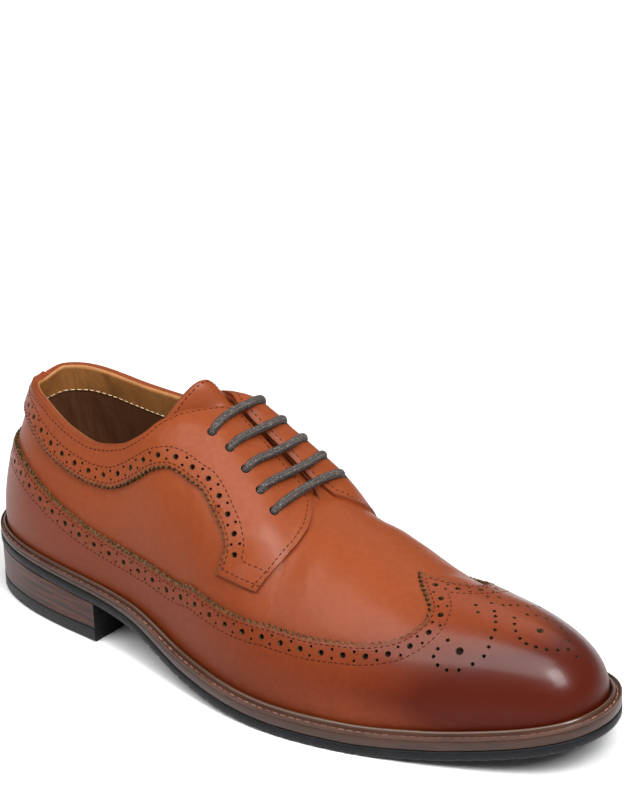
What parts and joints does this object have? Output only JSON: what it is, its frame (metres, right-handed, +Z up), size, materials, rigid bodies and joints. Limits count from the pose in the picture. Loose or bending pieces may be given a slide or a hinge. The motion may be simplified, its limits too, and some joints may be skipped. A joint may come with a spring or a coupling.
{
  "type": "brogue shoe",
  "caption": "Right longwing brogue shoe in tan leather with laced derby facings, welted sole and stacked heel.",
  "frame": {"origin": "centre of the shoe's bounding box in plan, on the floor", "axes": "+X to the toe, +Y to the medial side, +Z up"},
  "size_m": [0.306, 0.1046, 0.1112],
  "materials": {
    "black_rubber": "matt moulded rubber",
    "stacked_leather": "dyed edge of stacked leather, low sheen",
    "sole_edge": "dyed and waxed sole edge",
    "welt_leather": "dark waxed leather with a raised bead",
    "sock_leather": "smooth unglazed lining leather",
    "tan_leather": "smooth glazed calf leather",
    "burnished_leather": "glazed calf leather burnished darker to the toe",
    "lace_cord": "round waxed cotton cord"
  },
  "bodies": {
    "root": {"heel_lift": "black_rubber", "heel_stack": "stacked_leather", "outsole": "black_rubber", "midsole": "sole_edge", "welt": "welt_leather", "insole": "sock_leather", "upper": "tan_leather", "wing_overlay": "burnished_leather", "quarter_lateral": "tan_leather", "quarter_medial": "tan_leather", "heel_strip": "burnished_leather", "tongue": "tan_leather", "lace_bar_1": "lace_cord", "lace_bar_2": "lace_cord", "lace_bar_3": "lace_cord", "lace_bar_4": "lace_cord", "lace_bar_5": "lace_cord"}
  },
  "joints": []
}
